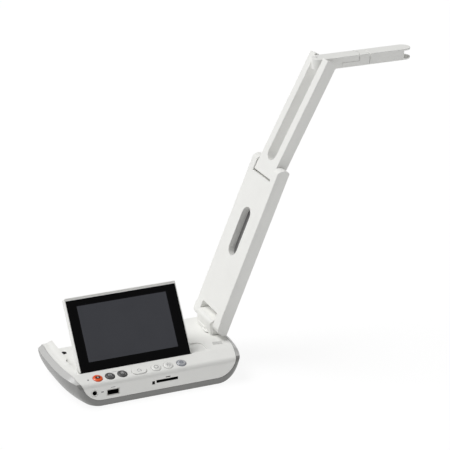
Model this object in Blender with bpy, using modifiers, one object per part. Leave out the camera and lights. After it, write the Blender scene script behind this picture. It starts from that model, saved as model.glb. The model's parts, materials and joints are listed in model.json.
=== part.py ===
"""Desktop document camera with a tilting screen and a folding three-section arm.

Sizes are given in millimetres and scaled to metres by MM. The origin is the middle
of the base's underside, +X runs along the base towards the arm, +Y to the back, +Z up.
"""
import math

import bmesh
import bpy
from mathutils import Matrix, Vector

MM = 0.001
GAP = 0.3                       # clearance between neighbouring pieces

# Base
BASE_FRONT = -56.25
BASE_BACK = 56.25
TOP = 33.0                      # flat top of the case
SHELL_BOTTOM = 1.0
WIDEST_Y = 15.25                # where the bulging ends stand furthest out
CASE_DEPTH = 25.7               # from the top down to the case's lower edge
SHELL_DEPTH = TOP - SHELL_BOTTOM
CASE_CORNER = 23.5              # width of the case's elliptical ends
CASE_WALL = 2.2
STRIP_BACK = -35.35             # the button strip falls from here to the front
STRIP_SLOPE = math.radians(14.8)
EDGE_RADIUS = 2.5               # rounded front edge of the strip
SHELL_CORNER = 22.0             # width of the lower shell's elliptical ends
RIM_DROP = 4.5                  # the rim's ridge below the top
RIM_FLAT = 1.6
RIM_CREST = 3.0                 # height of the case's raised left rim
CAVITY_TOP = 21.0
SCREWS = [(x, y) for x in (-74, 74) for y in (-24, 30)]
FEET = (                        # name, y, half the straight part, radius
    ("front_foot", -47.0, 66.0, 5.0),
    ("centre_foot", 0.0, 0.0, 8.0),
    ("back_foot", 47.0, 66.0, 5.0),
)
SPEAKER = (-54.0, 18.0)
BUMPER = (-79.7, 42.4)

# Screen well and screen
WELL_LEFT = -89.1
WELL_RIGHT = 48.2
WELL_FLOOR = 23.8
SCREEN_HINGE = (0.0, -31.9, 29.21)
SCREEN_LEAN = math.radians(55.3)    # from flat
SCREEN_LEFT = -87.9
SCREEN_RIGHT = 47.1
SCREEN_HEIGHT = 86.6
SCREEN_HALF = 4.5               # half the panel's thickness
GLASS_LEFT = -86.6
GLASS_WIDTH = 132.4
GLASS_HEIGHT = 83.1
SCREEN_FOOT = 1.5               # the panel's lower edge above the hinge axis

# Buttons on the strip: name, x, half the length of an oblong one's straight part
BUTTON_RADIUS = 5.5
BUTTON_FLANGE = 6.5
BUTTON_RISE = 1.5
BUTTON_LINE = -47.0             # y of the row
BUTTONS = (
    ("record_button", -71.9, 0.0),
    ("zoom_out_button", -57.3, 0.0),
    ("zoom_in_button", -42.4, 0.0),
    ("home_button", -22.4, 3.3),
    ("focus_button", -1.9, 0.0),
    ("brightness_button", 12.8, 0.0),
    ("power_button", 28.9, 0.0),
)

# Arm
ARM_Y = 20.85                   # middle of the arm's width
BASE_PIVOT = (97.3, ARM_Y, 46.2)
LOWER_LEAN = math.radians(22.3)
LOWER_LENGTH = 188.0            # between hinge axes
LOWER_HALF = 35.5               # half the width
LOWER_LEFT = -8.5               # broad face, from the line of the hinge axes
LOWER_RIGHT = 5.3
CHEEK_RADIUS = 9.0
BLOCK_HALF = 20.0
UPPER_LEAN = math.radians(27.5)
UPPER_LENGTH = 135.5
UPPER_HALF = 22.25
UPPER_THICK = 6.85              # half the thickness
UPPER_END = 141.7
SLOT_HALF = 10.0
SLOT_FOOT = 9.5
PIN_RADIUS = 2.5
SLEEVE_RADIUS = 4.2

# Head section, measured from the head hinge along +X
HEAD_HALF_WIDTH = 9.5
HEAD_HALF_HEIGHT = 6.6
ROOT_ROUND = -2.4               # centre of the round end
SWIVEL_X = 32.4
LAP_RADIUS = 14.3
LAP_TOP = -0.3                  # underside of the upper lap
LINK_END = 57.0
HEAD_START = 57.6
HEAD_WEB = 101.4
HEAD_TIP = 113.1
TIP_START = 103.0
PLATE = 2.0
LENS_X = 90.0
LAMP_X = 72.0


def clear_scene():
    for obj in list(bpy.data.objects):
        bpy.data.objects.remove(obj, do_unlink=True)


def new_collection(name):
    collection = bpy.data.collections.new(name)
    bpy.context.scene.collection.children.link(collection)
    return collection


def make_material(name, colour, roughness, metallic=0.0):
    material = bpy.data.materials.new(name)
    material.use_nodes = True
    shader = material.node_tree.nodes["Principled BSDF"]
    shader.inputs["Base Color"].default_value = (*colour, 1.0)
    shader.inputs["Roughness"].default_value = roughness
    shader.inputs["Metallic"].default_value = metallic
    return material


clear_scene()
PARTS = new_collection("document_camera")
CUTTERS = new_collection("cutters")
WHITE = make_material("white_plastic", (0.86, 0.86, 0.84), 0.35)
GREY = make_material("grey_plastic", (0.42, 0.42, 0.41), 0.45)
DARK = make_material("dark_grey_plastic", (0.13, 0.13, 0.13), 0.45)
ORANGE = make_material("orange_plastic", (0.82, 0.12, 0.02), 0.35)
RING = make_material("power_button_plastic", (0.30, 0.32, 0.36), 0.35)
GLASS = make_material("screen_glass", (0.006, 0.006, 0.007), 0.08)
LENS = make_material("lens_glass", (0.02, 0.02, 0.03), 0.05)
LAMP = make_material("lamp_window", (0.85, 0.85, 0.80), 0.30)
RUBBER = make_material("rubber", (0.03, 0.03, 0.03), 0.80)
STEEL = make_material("steel", (0.55, 0.55, 0.56), 0.35, 1.0)
BOARD = make_material("circuit_board", (0.02, 0.14, 0.06), 0.50)


# ---------------------------------------------------------------- helpers
def add(name, mesh, material=None, parent=None):
    """A piece where a material is given, else a hidden cutter."""
    obj = bpy.data.objects.new(name, mesh)
    if material:
        PARTS.objects.link(obj)
        mesh.materials.append(material)
    else:
        CUTTERS.objects.link(obj)
        obj.hide_render = True
        obj.display_type = "WIRE"
    obj.parent = parent
    return obj


def pivot(name, location, turn=(0.0, 0.0, 0.0), parent=None):
    empty = bpy.data.objects.new(name, None)
    PARTS.objects.link(empty)
    empty.location = Vector(location) * MM
    empty.rotation_euler = turn
    empty.parent = parent
    return empty


def to_mesh(name, bm):
    bmesh.ops.recalc_face_normals(bm, faces=bm.faces)
    mesh = bpy.data.meshes.new(name)
    bm.to_mesh(mesh)
    bm.free()
    mesh.shade_smooth()
    mesh.set_sharp_from_angle(angle=math.radians(35))
    return mesh


def box(name, low, high, material=None, parent=None, bevel=0.0):
    low, high = Vector(low) * MM, Vector(high) * MM
    bm = bmesh.new()
    bmesh.ops.create_cube(bm, size=1.0)
    place = Matrix.Translation((low + high) / 2) @ Matrix.Diagonal((*(high - low), 1.0))
    bmesh.ops.transform(bm, matrix=place, verts=bm.verts)
    if bevel:
        bmesh.ops.bevel(bm, geom=bm.edges[:], offset=bevel * MM, segments=1, affect="EDGES")
    return add(name, to_mesh(name, bm), material, parent)


def rod(name, start, end, radius, material=None, parent=None, sides=32):
    """A cylinder between two points."""
    start, end = Vector(start) * MM, Vector(end) * MM
    along = end - start
    bm = bmesh.new()
    bmesh.ops.create_cone(
        bm, cap_ends=True, segments=sides, radius1=radius * MM, radius2=radius * MM,
        depth=along.length,
    )
    turn = along.to_track_quat("Z", "Y").to_matrix().to_4x4()
    bmesh.ops.transform(bm, matrix=Matrix.Translation((start + end) / 2) @ turn, verts=bm.verts)
    return add(name, to_mesh(name, bm), material, parent)


def prism(name, outline, axis, low, high, material=None, parent=None, chamfer=None):
    """A flat outline drawn out along an axis. chamfer is (width, test of an edge's middle)."""
    spread = {
        "X": lambda u, v, w: (w, u, v),
        "Y": lambda u, v, w: (u, w, v),
        "Z": lambda u, v, w: (u, v, w),
    }[axis]
    bm = bmesh.new()
    face = bm.faces.new([bm.verts.new(Vector(spread(u, v, low)) * MM) for u, v in outline])
    made = bmesh.ops.extrude_face_region(bm, geom=[face])["geom"]
    raised = [item for item in made if isinstance(item, bmesh.types.BMVert)]
    bmesh.ops.translate(bm, verts=raised, vec=Vector(spread(0, 0, high - low)) * MM)
    if chamfer:
        width, wanted = chamfer
        edges = [e for e in bm.edges if wanted((e.verts[0].co + e.verts[1].co) / (2 * MM))]
        bmesh.ops.bevel(bm, geom=edges, offset=width * MM, segments=1, affect="EDGES")
    return add(name, to_mesh(name, bm), material, parent)


def turned(name, profile, material, parent=None, steps=24):
    """A round piece about its own Z axis; the profile runs down its outer side."""
    mesh = bpy.data.meshes.new(name)
    points = [(r * MM, 0.0, z * MM) for r, z in profile]
    mesh.from_pydata(points, [(i, i + 1) for i in range(len(points) - 1)], [])
    obj = add(name, mesh, material, parent)
    screw = obj.modifiers.new("turn", "SCREW")
    screw.steps = screw.render_steps = steps
    screw.use_merge_vertices = True
    screw.merge_threshold = 0.00001
    return obj


def arc(centre, radius, first, last, count=8):
    """Points on a circle from one angle to another, in degrees."""
    points = []
    for i in range(count + 1):
        angle = math.radians(first + (last - first) * i / count)
        points.append((centre[0] + radius * math.cos(angle), centre[1] + radius * math.sin(angle)))
    return points


def obround(centre, half_length, radius, upright=False, count=8):
    """A slot shape: two half circles joined by straight sides."""
    cu, cv = centre
    right = arc((half_length, 0), radius, -90, 90, count)
    left = arc((-half_length, 0), radius, 90, 270, count)
    points = right + left
    if not half_length:
        points = arc((0, 0), radius, 0, 360, 4 * count)[:-1]
    if upright:
        return [(cu - v, cv + u) for u, v in points]
    return [(cu + u, cv + v) for u, v in points]


def boolean(obj, other, operation):
    modifier = obj.modifiers.new(other.name, "BOOLEAN")
    modifier.operation = operation
    modifier.solver = "EXACT"
    modifier.object = other


def cut(obj, *others):
    for other in others:
        boolean(obj, other, "DIFFERENCE")


def join(obj, *others):
    for other in others:
        boolean(obj, other, "UNION")


# ---------------------------------------------------------------- base hull
def bulge(y, widest, taper, power):
    """Half the width of the base at y: the ends bulge, and draw in to front and back."""
    return widest - taper * (abs(y - WIDEST_Y) / (WIDEST_Y - BASE_FRONT)) ** power


def case_reach(y):
    return bulge(y, 102.4, 8.9, 2.2)


def shell_reach(y):
    return bulge(y, 108.4, 10.4, 2.8)


def strip_height(y):
    return TOP - max(STRIP_BACK - y, 0.0) * math.tan(STRIP_SLOPE)


def top_height(y):
    """The case's top: flat, then the sloping strip, then its rounded front edge."""
    past = min(max(BASE_FRONT + EDGE_RADIUS - y, 0.0), EDGE_RADIUS)
    return strip_height(y) - EDGE_RADIUS + math.sqrt(EDGE_RADIUS ** 2 - past ** 2)


def hull_ring(y, reach, corner, depth, top, steps=7):
    """Right half of a section: from the top down the elliptical end to the flat bottom."""
    first = math.asin(min(max((TOP - top) / depth, 0.0), 1.0))
    points = [(reach, y, top)] if top > TOP else []
    for i in range(steps + 1):
        angle = first + (math.pi / 2 - first) * i / steps
        points.append((reach - corner * (1 - math.cos(angle)), y, TOP - depth * math.sin(angle)))
    return points


def rim_ring(y):
    """Right half of the lower shell: a rim sloping out to a ridge, then the curved side."""
    top = top_height(y)
    inner = case_reach(y) - 1.0
    ridge = min(TOP - RIM_DROP, top - 0.4)
    side = hull_ring(y, shell_reach(y), SHELL_CORNER, SHELL_DEPTH, ridge)
    return [(inner, y, top), (inner + RIM_FLAT, y, top)] + side


def loft(name, stations, half_of, material=None):
    """A solid through sections of the base, mirrored left to right and closed at both ends."""
    bm = bmesh.new()
    rings = []
    for y in stations:
        half = half_of(y)
        ring = half + [(-x, y, z) for x, y, z in reversed(half)]
        rings.append([bm.verts.new(Vector(point) * MM) for point in ring])
    for near, far in zip(rings, rings[1:]):
        for i in range(len(near)):
            j = (i + 1) % len(near)
            bm.faces.new((near[i], near[j], far[j], far[i]))
    bm.faces.new(rings[0])
    bm.faces.new(rings[-1])
    return add(name, to_mesh(name, bm), material)


def hull(name, stations, reach_of, corner, depth, top_of, material=None):
    def half_of(y):
        return hull_ring(y, reach_of(y), corner, depth, top_of(y))

    return loft(name, stations, half_of, material)


HULL_STATIONS = (
    BASE_FRONT, -56.0, -55.2, -53.75, -45.0, STRIP_BACK, -22.0, -6.0, 10.0, 26.0, 42.0, BASE_BACK,
)


def lower_shell():
    """Grey tray under the case, whose rim shows along the front and round both ends."""
    shell = loft("lower_shell", HULL_STATIONS, rim_ring, GREY)
    seat = hull(
        "lower_shell_seat", (-60.0, *HULL_STATIONS, 60.0),
        lambda y: case_reach(min(max(y, BASE_FRONT), BASE_BACK)) + GAP, CASE_CORNER,
        CASE_DEPTH + GAP, lambda y: TOP + 5.0,
    )
    cut(shell, seat, box("lower_shell_pocket", (-69, -48, 3.5), (69, 48, 8)))
    for name, y, half, radius in FEET:
        cut(shell, prism(name + "_seat", obround((0, y), half, radius + GAP), "Z", -1, 2.2))
    for x, y in SCREWS:
        cut(shell, rod("screw_way", (x, y, -1), (x, y, 9), 1.6, sides=16))
        cut(shell, rod("screw_seat", (x, y, -1), (x, y, 4), 3.2, sides=16))
    for i in range(5):
        x = SPEAKER[0] - 8 + 4 * i
        cut(shell, box("speaker_slot", (x - 0.8, SPEAKER[1] - 9, 0), (x + 0.8, SPEAKER[1] + 9, 5)))
    return shell


def rim_ramp():
    """Raised left rim beside the screen well, rising to the back."""
    bm = bmesh.new()
    rows = []
    for y in (-12.0, -5.0, 2.0, 20.0, 38.0, BASE_BACK - 1.2):
        lift = RIM_CREST * (0.35 + 0.65 * (y + 12.0) / 67.0) * min((y + 12.0) / 14.0, 1.0)
        outer = -(case_reach(y) - 3.0)
        inner = WELL_LEFT + 0.5
        row = [(outer, TOP - 1), (outer, TOP - 0.1), (outer + 7, TOP + lift), (inner, TOP + lift),
               (inner, TOP - 1)]
        rows.append([bm.verts.new(Vector((x, y, z)) * MM) for x, z in row])
    for near, far in zip(rows, rows[1:]):
        for i in range(len(near)):
            j = (i + 1) % len(near)
            bm.faces.new((near[i], near[j], far[j], far[i]))
    bm.faces.new(rows[0])
    bm.faces.new(rows[-1])
    return add("rim_ramp", to_mesh("rim_ramp", bm))


def top_case():
    """White case: strip, screen well, finger scoop, port openings and screw posts."""
    case = hull("top_case", HULL_STATIONS, case_reach, CASE_CORNER, CASE_DEPTH, top_height, WHITE)
    inner = CASE_WALL
    stations = (BASE_FRONT + inner, -40.0, -22.0, -6.0, 10.0, 26.0, 42.0, BASE_BACK - inner)
    cavity = hull(
        "case_cavity", stations, lambda y: case_reach(y) - inner, CASE_CORNER - inner,
        CASE_DEPTH - inner, lambda y: CAVITY_TOP,
    )
    mouth = box("case_mouth", (-68, -50, 5), (68, 50, 12))
    strip_pocket = box("strip_pocket", (-80, -7.4, -12), (42, 8, -CASE_WALL), parent=STRIP)
    arm_pocket = box("arm_pocket", (52, -33, 20), (92, 40, TOP - 2.5))
    cut(case, cavity, mouth, strip_pocket, arm_pocket)
    posts = []
    for x, y in SCREWS:
        post = rod("screw_post", (x, y, 7.5), (x, y, CAVITY_TOP + 0.5), 3.6, sides=20)
        join(case, post)
        posts.append(rod("post_bore", (x, y, 6), (x, y, 18), 1.6, sides=16))
    cut(case, *posts)
    scoop = [(40.0, -34.2), *arc((60.0, -26.0), 8.2, -90, 0, 5), *arc((62.2, -15.75), 6.0, 0, 90, 5)]
    scoop.append((40.0, -9.75))
    ridge = rim_ramp()
    join(case, ridge)
    cut(
        case,
        box("screen_well", (WELL_LEFT, STRIP_BACK, WELL_FLOOR), (WELL_RIGHT, 60, 40)),
        box("rim_notch", (-91.6, -12.0, 31.6), (WELL_LEFT + 1, 3.25, 40)),
        prism("finger_scoop", scoop, "Z", TOP - 1.0, TOP + 3),
        box("mic_seat", (-5.7, -3.9, -1.6), (5.7, 3.9, 3), parent=MIC),
        rod("mic_way", (0, 0, -6), (0, 0, 1), 1.5, parent=MIC, sides=16),
        rod("led_way", (-83.3, 0, -6), (-83.3, 0, 3), 1.2, parent=STRIP, sides=16),
    )
    for name, x, half in BUTTONS:
        shape = obround((x, 0), half, BUTTON_RADIUS + GAP)
        cut(case, prism(name + "_way", shape, "Z", -6, 4, parent=STRIP))
    cut(
        case,
        rod("jack_way", (-79, -60, 17), (-79, -50, 17), 3.7, sides=24),
        rod("jack_seat", (-79, -60, 17), (-79, -55.4, 17), 4.5, sides=24),
        box("usb_way", (-64.9, -60, 11.0), (-49.5, -50, 18.6)),
        box("card_way", (-5.3, -60, 15.7), (21.2, -50, 18.8)),
        box("card_led_way", (-10.4, -60, 14.1), (-6.8, -50, 18.5)),
        rod("power_way", (30, 50, 15), (30, 60, 15), 3.9, sides=24),
        box("hdmi_way", (0.2, 50, 12.0), (15.8, 60, 18.0)),
        box("usb_device_way", (-20.3, 50, 10.7), (-7.7, 60, 20.1)),
    )
    for x in (WELL_LEFT, WELL_RIGHT):
        hinge = Vector(SCREEN_HINGE)
        start, end = (x - 7, hinge.y, hinge.z), (x + 7, hinge.y, hinge.z)
        cut(case, rod("screen_pin_way", start, end, 1.3 + GAP, sides=20))
    cut(case, rod("bumper_seat", (*BUMPER, 22.6), (*BUMPER, 26), 3.5 + GAP, sides=20))
    return case


def base_inside():
    """Weight, boards, speaker, sockets and the small pieces set in the case."""
    box("ballast_plate", (-38, -46, 3.8), (64, 46, 7.8), STEEL)
    board = box("main_board", (-38, -18, 9.8), (62, 44, 11.4), BOARD)
    for low, high in (((-20, 0, 11.3), (-2, 18, 13.3)), ((14, 6, 11.3), (30, 22, 13.0))):
        join(board, box("chip", low, high))
    rod("speaker", (*SPEAKER, 3.9), (*SPEAKER, 10.5), 12.5, DARK, sides=24)
    box("button_board", (-74, -5, -7.9), (36, 7, -6.3), BOARD, STRIP)
    box("rubber_keypad", (-78, -6.5, -6.0), (40, 7, -4.4), RUBBER, STRIP)
    for name, y, half, radius in FEET:
        prism(name, obround((0, y), half, radius), "Z", 0, 1.9, RUBBER)
    for number, (x, y) in enumerate(SCREWS, 1):
        profile = ((0, 17), (1.25, 17), (1.25, 3.7), (2.8, 3.7), (2.8, 2.1), (0, 2.1))
        screw = turned(f"case_screw_{number}", profile, STEEL, steps=16)
        screw.location = Vector((x, y, 0)) * MM
    jack = turned(
        "audio_jack",
        ((0, -11.0), (2.8, -11.0), (2.8, 0), (4.2, 0), (4.2, -0.6), (3.4, -0.6), (3.4, -12.0),
         (0, -12.0)),
        RUBBER,
    )
    jack.location = Vector((-79, -56.3, 17)) * MM
    jack.rotation_euler = (math.pi / 2, 0, 0)
    usb = box("usb_port", (-64.6, -56.1, 11.3), (-49.8, -43, 18.3), STEEL)
    cut(usb, box("usb_mouth", (-64.0, -60, 11.9), (-50.4, -43.8, 17.7)))
    join(usb, box("usb_tongue", (-62.8, -55.2, 16.5), (-51.6, -43.4, 17.5)))
    card = box("card_slot", (-5.0, -56.1, 16.0), (20.9, -34, 18.5), DARK)
    cut(card, box("card_mouth", (-4.4, -60, 16.6), (20.3, -35, 18.0)))
    box("card_led_window", (-10.1, -56.0, 14.4), (-7.1, -53, 18.2), DARK)
    power = rod("power_inlet", (30, 56.1, 15), (30, 45, 15), 3.6, DARK, sides=24)
    cut(power, rod("power_mouth", (30, 60, 15), (30, 47, 15), 2.8, sides=20))
    join(power, rod("power_pin", (30, 54, 15), (30, 46.5, 15), 0.8, sides=12))
    hdmi = box("hdmi_port", (0.5, 56.1, 12.3), (15.5, 47, 17.7), STEEL)
    cut(hdmi, box("hdmi_mouth", (1.1, 60, 12.9), (14.9, 48, 17.1)))
    device = box("usb_device_port", (-20.0, 56.1, 11.0), (-8.0, 47, 19.8), STEEL)
    cut(device, box("usb_device_mouth", (-19.4, 60, 11.6), (-8.6, 48, 19.2)))
    join(device, box("usb_device_tongue", (-17, 47.5, 13.4), (-11, 55, 17.4)))
    rod("well_bumper", (*BUMPER, 22.9), (*BUMPER, 24.3), 3.5, RUBBER, sides=24)
    rod("status_led", (-83.3, 0, -4.0), (-83.3, 0, 0.15), 0.9, LAMP, STRIP, sides=16)
    box("mic_grille", (-5.4, -3.6, -1.2), (5.4, 3.6, 0.15), GREY, MIC)
    rod("microphone", (0, 0, -6.0), (0, 0, -2.8), 3.0, STEEL, MIC, sides=20)


def buttons():
    """Domed caps with a flange below the case wall. Each slides along the strip's normal."""
    colours = {"record_button": ORANGE, "zoom_out_button": DARK, "zoom_in_button": DARK,
               "power_button": RING}
    for name, x, half in BUTTONS:
        seat = pivot(name + "_pivot", (x, 0, 0), parent=STRIP)
        material = colours.get(name, WHITE)
        if half:
            shape = obround((0, 0), half, BUTTON_RADIUS)
            cap = prism(
                name, shape, "Z", -2.9, BUTTON_RISE, material, seat,
                chamfer=(0.8, lambda middle: middle.z > BUTTON_RISE - 0.01),
            )
            flange = obround((0, 0), half, BUTTON_FLANGE)
            join(cap, prism(name + "_flange", flange, "Z", -3.3, -2.5, parent=seat))
            continue
        rise = BUTTON_RISE
        profile = [(0, rise), (1.6, rise - 0.05), (3.2, rise - 0.25), (4.5, rise - 0.6)]
        profile += [(5.2, rise - 1.0), (BUTTON_RADIUS, rise - 1.5), (BUTTON_RADIUS, -2.5)]
        profile += [(BUTTON_FLANGE, -2.5), (BUTTON_FLANGE, -3.3), (0, -3.3)]
        turned(name, profile, material, seat)


# ---------------------------------------------------------------- screen
def screen():
    """Screen panel about its hinge: local Y runs up the panel, local Z out of the glass."""
    hinge = pivot("screen_hinge", SCREEN_HINGE, (SCREEN_LEAN, 0, 0))
    foot, head = SCREEN_FOOT, SCREEN_FOOT + SCREEN_HEIGHT
    left, right = SCREEN_LEFT, SCREEN_RIGHT
    glass_right = GLASS_LEFT + GLASS_WIDTH
    frame = box(
        "screen_front_frame", (left, foot, -1.5), (right, head, SCREEN_HALF), WHITE, hinge, 0.8,
    )
    cut(
        frame,
        box("glass_seat", (GLASS_LEFT - GAP, foot - 2, SCREEN_HALF - 1.5),
            (glass_right + GAP, foot + GLASS_HEIGHT + GAP, 9), parent=hinge),
        box("display_way", (GLASS_LEFT + 6, foot + 5, -3), (glass_right - 6, foot + 78, 5),
            parent=hinge),
    )
    cover = box(
        "screen_back_cover", (left, foot, -SCREEN_HALF), (right, head, -1.8), WHITE, hinge, 0.8,
    )
    cut(cover, box("cover_hollow", (left + 4, foot + 4, -3.0), (right - 4, head - 3, 0),
                   parent=hinge))
    for start, end in ((left, left + 16), (right - 16, right)):
        way = rod("barrel_way", (start - 1, 0, 0), (end + GAP, 0, 0), 3.3, parent=hinge, sides=24)
        barrel = rod("barrel", (start, 0, 0), (end, 0, 0), 3.0, parent=hinge, sides=24)
        cut(frame, way)
        join(cover, barrel)
    for x in (left, right):
        cut(cover, rod("cover_bore", (x - 9, 0, 0), (x + 9, 0, 0), 1.6, parent=hinge, sides=20))
    box("screen_glass", (GLASS_LEFT, foot, SCREEN_HALF - 1.2),
        (glass_right, foot + GLASS_HEIGHT, SCREEN_HALF), GLASS, hinge)
    box("display_module", (GLASS_LEFT + 6.3, foot + 5.3, -2.6),
        (glass_right - 6.3, foot + 77.7, SCREEN_HALF - 1.8), DARK, hinge)
    y, z = SCREEN_HINGE[1:]
    for name, x in (("screen_pin_left", WELL_LEFT), ("screen_pin_right", WELL_RIGHT)):
        rod(name, (x - 6, y, z), (x + 6, y, z), 1.3, STEEL, sides=20)


# ---------------------------------------------------------------- arm
def tube(name, half, inner, outer, parent, height=0.0, material=RUBBER):
    """A sleeve along Y, centred on the arm."""
    sleeve = rod(name, (0, -half, height), (0, half, height), outer, material, parent, 24)
    cut(sleeve, rod(name + "_bore", (0, -half - 1, height), (0, half + 1, height), inner,
                    parent=parent, sides=24))
    return sleeve


def arm_base_block():
    """Fixed block between the fork's cheeks, chamfered along its top edges."""
    seat = pivot("arm_base_seat", BASE_PIVOT)
    bottom = TOP + GAP - BASE_PIVOT[2]
    outline = ((-10.9, bottom), (-10.9, 2.0), (-8.5, 5.8), (3.0, 5.8), (6.0, 3.0), (6.0, bottom))
    block = prism("arm_base_block", outline, "Y", -BLOCK_HALF, BLOCK_HALF, WHITE, seat)
    join(block, box("block_foot", (-13.4, -12, bottom), (0, 2, bottom + 2), parent=seat))
    cut(block, rod("block_bore", (0, -30, 0), (0, 30, 0), SLEEVE_RADIUS + GAP, parent=seat,
                   sides=24))
    tube("base_hinge_sleeve", BLOCK_HALF - 0.3, PIN_RADIUS + GAP, SLEEVE_RADIUS, seat)


def lower_arm():
    """Wide lower section: a fork at each end, a lined recess and a cover on its right face."""
    arm = pivot("lower_arm_pivot", BASE_PIVOT, (0, LOWER_LEAN, 0))
    right = math.degrees(math.acos(LOWER_RIGHT / CHEEK_RADIUS))
    left = math.degrees(math.acos(-LOWER_LEFT / CHEEK_RADIUS))
    outline = arc((0, 0), CHEEK_RADIUS, -right, -180 + left, 9)
    outline += arc((0, LOWER_LENGTH), CHEEK_RADIUS, 180 - left, right, 9)
    shell = prism(
        "lower_arm_shell", outline, "Y", -LOWER_HALF, LOWER_HALF, WHITE, arm,
        chamfer=(1.7, lambda middle: abs(middle.y) > LOWER_HALF - 0.01 and middle.x < -2.0),
    )
    bottom_fork = BLOCK_HALF + 0.6
    top_fork = UPPER_HALF + GAP
    pins = PIN_RADIUS + GAP
    cut(
        shell,
        box("bottom_fork", (-15, -bottom_fork, -15), (15, bottom_fork, 12.3), parent=arm),
        box("top_fork", (-15, -top_fork, LOWER_LENGTH - 9.8), (15, top_fork, LOWER_LENGTH + 15),
            parent=arm),
        prism("recess", obround((0, 108), 20, 10.0, upright=True), "X", -10, 0.5, parent=arm),
        box("cover_seat", (3.2, -30.3, 15.7), (10, 30.3, 172.3), parent=arm),
        box("wire_way_front", (-5.5, -30, 22), (5, -14, 165), parent=arm),
        box("wire_way_back", (-5.5, 14, 22), (5, 30, 165), parent=arm),
        rod("bottom_bore", (0, -33.8, 0), (0, 33.8, 0), pins, parent=arm, sides=24),
        rod("top_bore", (0, -33.8, LOWER_LENGTH), (0, 33.8, LOWER_LENGTH), pins, parent=arm,
            sides=24),
    )
    box("lower_arm_cover", (3.5, -30, 16), (LOWER_RIGHT, 30, 172), WHITE, arm)
    prism("lower_arm_recess_liner", obround((0, 108), 20, 9.7, upright=True), "X", -0.8, 0.2,
          DARK, arm)
    rod("base_hinge_pin", (0, -33.5, 0), (0, 33.5, 0), PIN_RADIUS, STEEL, arm, 24)
    rod("elbow_pin", (0, -33.5, LOWER_LENGTH), (0, 33.5, LOWER_LENGTH), PIN_RADIUS, STEEL, arm, 24)
    return arm


def upper_arm(lower):
    """Two rails joined by a tongue that turns in the lower section's top fork."""
    arm = pivot("upper_arm_pivot", (0, 0, LOWER_LENGTH), (0, UPPER_LEAN - LOWER_LEAN, 0), lower)
    thick = UPPER_THICK
    radius = 9.2
    side = math.degrees(math.asin(thick / radius))
    outline = [(-thick, -8.0), (-thick + 1.2, -radius)]
    outline += arc((0, 0), radius, -90, -90 + side, 6)
    outline += arc((thick - 5, UPPER_END - 5), 5, 0, 90, 5) + [(-thick, UPPER_END)]
    shell = prism("upper_arm_shell", outline, "Y", -UPPER_HALF, UPPER_HALF, WHITE, arm)
    slot = [(x, z) for x, z in arc((0, SLOT_FOOT + SLOT_HALF), SLOT_HALF, 180, 360, 12)]
    slot += [(SLOT_HALF, UPPER_END + 5), (-SLOT_HALF, UPPER_END + 5)]
    cut(
        shell,
        prism("arm_slot", slot, "X", -10, 10, parent=arm),
        rod("tongue_bore", (0, -30, 0), (0, 30, 0), SLEEVE_RADIUS + GAP, parent=arm, sides=24),
        rod("head_bore", (0, -20.3, UPPER_LENGTH), (0, 20.3, UPPER_LENGTH), 2.3, parent=arm,
            sides=20),
    )
    for name, side in (("rail_cover_front", -1), ("rail_cover_back", 1)):
        low, high = sorted((side * 12.0, side * 20.0))
        cut(
            shell,
            box("rail_way", (-4, low, 16), (8, high, 120), parent=arm),
            box("rail_seat", (5.2, low - 0.9, 15), (8, high + 0.9, 121), parent=arm),
        )
        box(name, (5.5, low - 0.6, 15.3), (thick, high + 0.6, 120.7), WHITE, arm)
    tube("elbow_sleeve", UPPER_HALF - 0.4, PIN_RADIUS + GAP, SLEEVE_RADIUS, arm)
    rod("head_hinge_pin", (0, -20, UPPER_LENGTH), (0, 20, UPPER_LENGTH), 2.0, STEEL, arm, 20)
    return arm


def head(upper):
    """Head section: round-ended root, half-lap swivel, and camera head that rolls."""
    hinge = pivot("head_pivot", (0, 0, UPPER_LENGTH), (0, -UPPER_LEAN, 0), upper)
    wide, tall = HEAD_HALF_WIDTH, HEAD_HALF_HEIGHT
    swivel = (SWIVEL_X, 0.0)
    lap = math.degrees(math.asin(wide / LAP_RADIUS))
    clear = LAP_RADIUS + GAP
    outline = arc((ROOT_ROUND, 0), wide, 90, 270, 14) + arc(swivel, LAP_RADIUS, -lap, lap, 8)
    root = prism("head_root", outline, "Z", -tall, tall, WHITE, hinge)
    cut(
        root,
        rod("root_lap", (*swivel, -10), (*swivel, LAP_TOP), clear, parent=hinge, sides=48),
        box("root_lap_end", (SWIVEL_X, -20, -10), (60, 20, LAP_TOP), parent=hinge),
        rod("root_bore", (0, -20, 0), (0, 20, 0), 2.3, parent=hinge, sides=20),
        rod("root_pin_way", (*swivel, -1), (*swivel, 4.9), 2.9, parent=hinge, sides=20),
        rod("root_dimple", (-5.5, 0, 6.1), (-5.5, 0, 9), 1.6, parent=hinge, sides=20),
    )

    outline = arc(swivel, LAP_RADIUS, 180 - lap, 180 + lap, 8) + [(LINK_END, -wide), (LINK_END, wide)]
    link = prism("swivel_link", outline, "Z", -tall, tall, WHITE, hinge)
    lap_bottom = LAP_TOP - GAP
    cut(
        link,
        rod("link_lap", (*swivel, lap_bottom), (*swivel, 10), clear, parent=hinge, sides=48),
        box("link_lap_end", (0, -20, lap_bottom), (SWIVEL_X, 20, 10), parent=hinge),
        rod("link_pin_way", (*swivel, -4.9), (*swivel, 1), 2.9, parent=hinge, sides=20),
        rod("link_roll_way", (48.7, 0, 0), (70, 0, 0), 3.3, parent=hinge, sides=20),
    )
    rod("swivel_pin", (*swivel, -4.6), (*swivel, 4.6), 2.6, STEEL, hinge, 20)
    rod("roll_spigot", (49.0, 0, 0), (65.0, 0, 0), 3.0, STEEL, hinge, 20)
    camera_head(hinge)


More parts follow.
